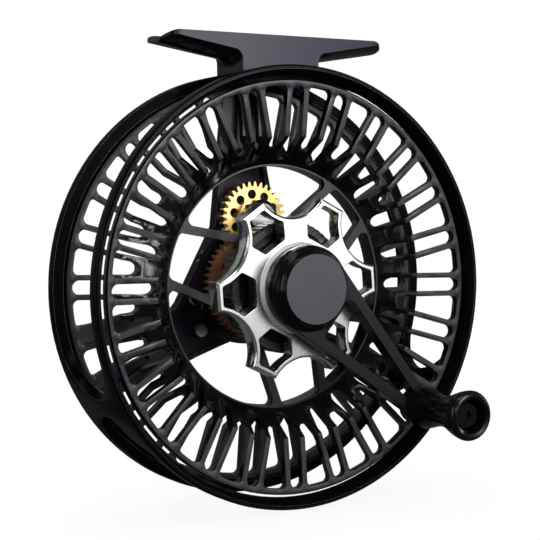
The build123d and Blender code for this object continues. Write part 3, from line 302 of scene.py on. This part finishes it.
gold = turned_metal("gear_gold", colour=(1.0, 0.70, 0.28), tint=(0.92, 0.58, 0.18), rough=0.28, centre=LAY_AXIS)
copper = turned_metal("gear_copper", colour=(1.0, 0.64, 0.38), tint=(0.95, 0.50, 0.26), rough=0.52, grain=0.008)
bronze = turned_metal("bush_bronze", colour=(0.60, 0.38, 0.18), tint=(0.50, 0.30, 0.14), rough=0.34)
steel = turned_metal("ground_steel", colour=(0.60, 0.60, 0.61), tint=(0.52, 0.52, 0.54), rough=0.22)

PAINT = {
    gloss_black: ("frame_cage",),
    spool_grey: ("spool",),
    foot_grey: ("reel_foot",),
    crank_grey: ("crank_arm",),
    knob_black: ("handle_knob",),
    polished_star(): ("star_wheel",),
    cap_finish(): ("hub_cap",),
    knurled_housing(): ("drag_housing",),
    gold: ("lay_gear", "lay_pinion"),
    copper: ("spool_pinion", "drive_gear"),
    bronze: ("lay_bush", "sleeve_bushes", "shaft_bushes", "handle_bush", "thrust_washer"),
    carbon_weave(): ("carbon_discs",),
    black_oxide: ("pressure_plate", "spring_washers", "handle_screw", "click_pawl"),
}
FINISH = {node: material for material, nodes in PAINT.items() for node in nodes}
for node in NODES:
    paint(node, FINISH.get(node, steel))
for node, width in EDGE_BREAKS.items():
    soften(node, width * MM)


# ------------------------------------------------------------------ studio

def sheet(name, size):
    """Square sheet in its own XY plane, for the studio only."""
    half = size / 2
    mesh = bpy.data.meshes.new(name)
    mesh.from_pydata([(-half, -half, 0), (half, -half, 0), (half, half, 0), (-half, half, 0)], [], [(0, 1, 2, 3)])
    thing = bpy.data.objects.new(name, mesh)
    scene.collection.objects.link(thing)
    material, g = new_material(name)
    mesh.materials.append(material)
    return thing, g


def card(name, place, aim, width, height, strength, colour=WHITE, soft=0.3):
    """Glowing softbox card. It hides nothing behind it, and soft is the share of it that is feathered."""
    thing, g = sheet(name, 1.0)
    turn = (Vector(aim) - Vector(place)).to_track_quat("Z", "Y")
    thing.matrix_world = Matrix.LocRotScale(Vector(place), turn, Vector((width, height, 1.0)))
    thing.visible_camera = False
    thing.visible_shadow = False
    split = g.add("ShaderNodeSeparateXYZ", {0: g.place()})
    feather = [g.ramp(g.math("ABSOLUTE", split.outputs[axis]), 1.0, 0.0, 0.5 - soft, 0.5, smooth=True)
               for axis in ("X", "Y")]
    clear = g.add("ShaderNodeBsdfTransparent").outputs[0]
    lit = g.glow(g.product(*feather, strength), colour)
    g.finish(g.add("ShaderNodeAddShader", {0: lit, 1: clear}).outputs[0])


def studio_floor(height):
    """Pale floor that glows white to the camera. Close under the reel its glow is dimmed by ambient occlusion as a
    painted contact shadow, and reflections see it dim.
    """
    thing, g = sheet("studio_floor", FLOOR_SIZE)
    thing.location.z = height
    shade = g.add("ShaderNodeAmbientOcclusion", {"Distance": FLOOR_SHADE_REACH}, samples=8).outputs["AO"]
    # painted shadow: the floor's glow is darkened where ambient occlusion finds the reel close above it
    glow_with_painted_shadow = g.ramp(shade, 0.93, 1.02, 0.35, 1.0)
    g.finish(g.by_ray(g.glow(0.10, (0.9, 0.92, 0.9)), g.glow(glow_with_painted_shadow)))


def studio_world():
    """White to the camera. Reflections see a dim room, brighter above and at the left behind the reel."""
    world = bpy.data.worlds.new("studio")
    scene.world = world
    world.use_nodes = True
    g = Graph(world.node_tree)
    direction = g.add("ShaderNodeTexCoord").outputs["Generated"]
    split = g.add("ShaderNodeSeparateXYZ", {0: direction})
    height = g.ramp(split.outputs["Z"], 0.03, 0.16, -0.5, 0.8)
    behind = g.share(split.outputs["Y"], 0.55, 0.80)
    left = g.ramp(split.outputs["X"], 0.20, 0.08, -0.5, 0.1)
    level = g.math("ADD", height, g.product(behind, left))
    room = g.add("ShaderNodeBackground", {"Color": (0.94, 1.0, 0.93, 1.0), "Strength": level}).outputs[0]
    seen = g.add("ShaderNodeBackground", {"Color": (*WHITE, 1.0), "Strength": 1.02}).outputs[0]
    g.finish(g.by_ray(room, seen), "ShaderNodeOutputWorld")


def camera():
    data = bpy.data.cameras.new("camera")
    data.lens = CAMERA_LENS
    data.sensor_width = CAMERA_SENSOR
    data.clip_start, data.clip_end = CAMERA_NEAR, CAMERA_FAR
    thing = bpy.data.objects.new("camera", data)
    scene.collection.objects.link(thing)
    place = Vector(CAMERA_PLACE)
    back = (place - Vector(CAMERA_AIM)).normalized()
    right = Vector(CAMERA_UP).cross(back).normalized()
    up = back.cross(right)
    rotation = Matrix((right, up, back)).transposed()
    thing.matrix_world = Matrix.Translation(place) @ rotation.to_4x4()
    scene.camera = thing


# broad front box, mirrored by every face that looks along -Y, fading to the right and downwards
card("front_box", (0.27, -0.65, 0.07), CENTRE, 0.84, 0.74, 1.65, soft=0.34)
# overhead box for top edges and the cap's side
card("top_box", (-0.12, -0.15, 0.60), CENTRE, 0.50, 0.30, 2.4)
# small warm fill from the camera's side, for the gears and the rounded edges
card("fill_box", (-0.26, -0.64, 0.18), CENTRE, 0.26, 0.26, 5.0, colour=(1.0, 0.96, 0.90), soft=0.4)
# small box close to the front, whose light fades from the upper left across the reel
card("near_box", (0.045, -0.17, 0.075), (-0.02, -0.03, 0.04), 0.14, 0.12, 11.0, soft=0.5)
# dim bluish box at the left front, mirrored by the star's collar
card("collar_box", (-0.60, -0.36, 0.08), CENTRE, 0.36, 0.50, 1.1, colour=(0.90, 0.96, 1.0), soft=0.4)
# narrow strips that draw the thin highlights on the rims
card("left_strip", (-0.62, -0.10, 0.16), CENTRE, 0.03, 0.60, 20.0)
card("right_strip", (0.60, -0.20, 0.0), CENTRE, 0.03, 0.70, 12.0)
studio_world()
studio_floor(CAD_BOX[0].z - FLOOR_DROP)
camera()
scene.view_settings.view_transform = "Standard"
scene.view_settings.look = "None"
